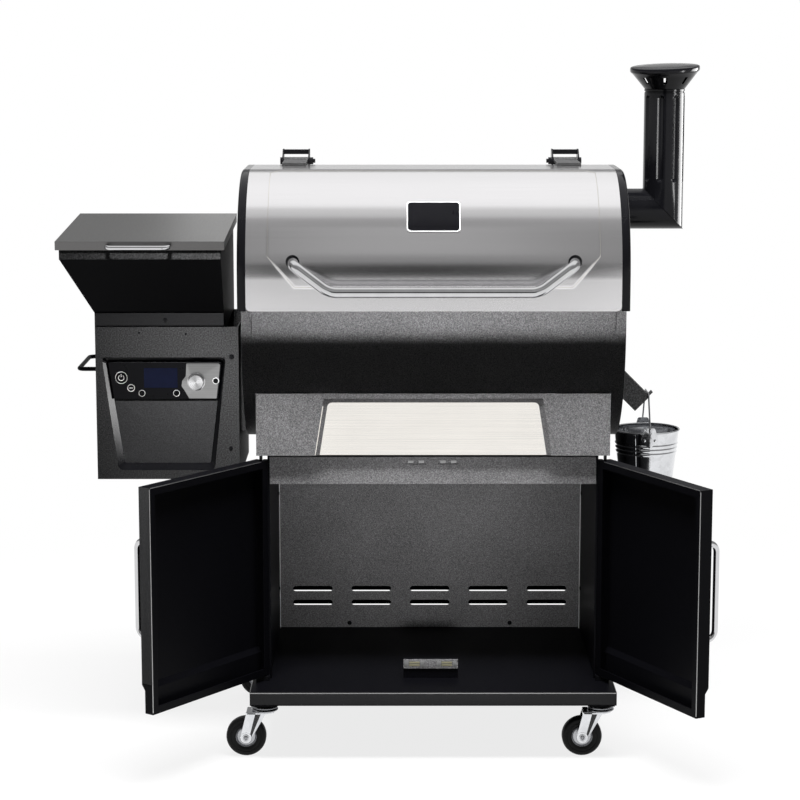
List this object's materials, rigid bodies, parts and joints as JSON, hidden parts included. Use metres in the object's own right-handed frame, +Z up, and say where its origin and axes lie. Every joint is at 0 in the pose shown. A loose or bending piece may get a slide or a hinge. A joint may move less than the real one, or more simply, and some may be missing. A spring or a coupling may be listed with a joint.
{
  "type": "pellet smoker grill",
  "caption": "Barrel pellet smoker on a wheeled cabinet, with hinged stainless lid, side pellet hopper and controller, chimney, grease pail and hinged storage doors.",
  "frame": {"origin": "middle of the bounding box, on the floor", "axes": "+Z up, -Y is the front where the doors are, +X is the chimney side"},
  "size_m": [1.213, 0.751, 1.279],
  "materials": {
    "powder_black": "fine textured powder coat",
    "gloss_black": "glossy enamel",
    "stainless": "brushed along the length",
    "dark_stainless": "dark brushed",
    "chrome": "polished",
    "zinc": "zinc plated",
    "galvanised": "galvanised sheet",
    "wheel_black": "black tread",
    "grate_enamel": "enamelled",
    "fire_steel": "heat stained",
    "black_plastic": "satin",
    "display_glass": "dark screen",
    "satin_aluminium": "turned",
    "motor_grey": "painted"
  },
  "bodies": {
    "cart": {"base_shelf": "powder_black", "caster_plates": "zinc", "left_wall": "powder_black", "right_wall": "powder_black", "back_panel": "powder_black", "header_rail": "powder_black", "magnet_catches": "zinc", "fascia": "powder_black", "fascia_plate": "stainless", "barrel_cradle": "powder_black", "door_pivots": "zinc", "barrel_shell": "powder_black", "barrel_left_end": "powder_black", "barrel_right_end": "powder_black", "lid_hinge_brackets": "gloss_black", "cooking_grate": "grate_enamel", "warming_rack": "chrome", "drip_tray": "grate_enamel", "heat_baffle": "fire_steel", "fire_pot": "fire_steel", "chimney_pipe": "gloss_black", "chimney_cap": "gloss_black", "grease_spout": "powder_black", "hopper_housing": "powder_black", "hopper_front": "powder_black", "hopper_bin": "powder_black", "hopper_hinge": "zinc", "controller_plate": "black_plastic", "display_window": "display_glass", "probe_jacks": "black_plastic", "pull_handle": "gloss_black", "power_inlet": "black_plastic", "auger_tube": "zinc", "auger_motor": "motor_grey", "fan_housing": "motor_grey"},
    "lid": {"lid_shell": "stainless", "lid_end_caps": "gloss_black", "lid_handle": "chrome", "lid_hinge_knuckles": "zinc"},
    "left_door_leaf": {"left_door": "powder_black", "left_door_handle": "chrome"},
    "right_door_leaf": {"right_door": "powder_black", "right_door_handle": "chrome"},
    "hopper_cover": {"hopper_lid": "dark_stainless", "hopper_lid_handle": "chrome"},
    "knob": {"control_knob": "satin_aluminium"},
    "power_key": {"power_button": "black_plastic"},
    "set_key": {"set_button": "black_plastic"},
    "feed_screw": {"auger": "zinc"},
    "fan_wheel": {"fan_impeller": "black_plastic"},
    "bail": {"pail_bail": "zinc"},
    "bucket": {"pail": "galvanised"},
    "front_left_caster": {"front_left_fork": "zinc"},
    "front_left_roller": {"front_left_wheel": "wheel_black"},
    "front_right_caster": {"front_right_fork": "zinc"},
    "front_right_roller": {"front_right_wheel": "wheel_black"},
    "rear_left_caster": {"rear_left_fork": "zinc"},
    "rear_left_roller": {"rear_left_wheel": "wheel_black"},
    "rear_right_caster": {"rear_right_fork": "zinc"},
    "rear_right_roller": {"rear_right_wheel": "wheel_black"}
  },
  "joints": [
    {"name": "lid_hinge", "type": "hinge", "parent": "cart", "child": "lid", "pos_m": [0.0785, 0.26903, 1.09], "axis": [-1, 0, 0], "range_deg": [0, 92]},
    {"name": "hopper_lid_hinge", "type": "hinge", "parent": "cart", "child": "hopper_cover", "pos_m": [-0.4535, 0.19803, 0.98508], "axis": [-1, 0, 0], "range_deg": [0, 100]},
    {"name": "left_door_hinge", "type": "hinge", "parent": "cart", "child": "left_door_leaf", "pos_m": [-0.2415, -0.09097, 0.35], "axis": [0, 0, -1], "range_deg": [-126.2, 14]},
    {"name": "right_door_hinge", "type": "hinge", "parent": "cart", "child": "right_door_leaf", "pos_m": [0.3985, -0.09097, 0.35], "axis": [0, 0, 1], "range_deg": [-118, 18]},
    {"name": "knob_turn", "type": "hinge", "parent": "cart", "child": "knob", "pos_m": [-0.3605, -0.08097, 0.703], "axis": [0, -1, 0], "continuous": true},
    {"name": "power_press", "type": "slide", "parent": "cart", "child": "power_key", "axis": [0, 1, 0], "range_m": [0, 0.0015], "stiffness_N_per_m": 400},
    {"name": "set_press", "type": "slide", "parent": "cart", "child": "set_key", "axis": [0, 1, 0], "range_m": [0, 0.0015], "stiffness_N_per_m": 400},
    {"name": "auger_spin", "type": "hinge", "parent": "cart", "child": "feed_screw", "pos_m": [-0.2215, 0.12403, 0.64], "axis": [1, 0, 0], "continuous": true},
    {"name": "fan_spin", "type": "hinge", "parent": "cart", "child": "fan_wheel", "pos_m": [-0.4015, -0.02097, 0.59], "axis": [0, 1, 0], "continuous": true},
    {"name": "bail_swing", "type": "hinge", "parent": "cart", "child": "bail", "pos_m": [0.4975, 0.12403, 0.65118], "axis": [0, -1, 0], "range_deg": [0, 25]},
    {"name": "pail_tilt", "type": "hinge", "parent": "bail", "child": "bucket", "pos_m": [0.4975, 0.12403, 0.5815], "axis": [0, 1, 0], "range_deg": [-30, 12]},
    {"name": "front_left_swivel", "type": "hinge", "parent": "cart", "child": "front_left_caster", "pos_m": [-0.2365, -0.12597, 0.09], "axis": [0, 0, 1], "continuous": true},
    {"name": "front_left_roll", "type": "hinge", "parent": "front_left_caster", "child": "front_left_roller", "pos_m": [-0.2715, -0.12597, 0.0375], "axis": [0, 1, 0], "continuous": true},
    {"name": "front_right_swivel", "type": "hinge", "parent": "cart", "child": "front_right_caster", "pos_m": [0.3935, -0.12597, 0.09], "axis": [0, 0, 1], "continuous": true},
    {"name": "front_right_roll", "type": "hinge", "parent": "front_right_caster", "child": "front_right_roller", "pos_m": [0.3585, -0.12597, 0.0375], "axis": [0, 1, 0], "continuous": true},
    {"name": "rear_left_swivel", "type": "hinge", "parent": "cart", "child": "rear_left_caster", "pos_m": [-0.2365, 0.26903, 0.09], "axis": [0, 0, 1], "continuous": true},
    {"name": "rear_left_roll", "type": "hinge", "parent": "rear_left_caster", "child": "rear_left_roller", "pos_m": [-0.2715, 0.26903, 0.0375], "axis": [0, 1, 0], "continuous": true},
    {"name": "rear_right_swivel", "type": "hinge", "parent": "cart", "child": "rear_right_caster", "pos_m": [0.3935, 0.26903, 0.09], "axis": [0, 0, 1], "continuous": true},
    {"name": "rear_right_roll", "type": "hinge", "parent": "rear_right_caster", "child": "rear_right_roller", "pos_m": [0.3585, 0.26903, 0.0375], "axis": [0, 1, 0], "continuous": true}
  ]
}
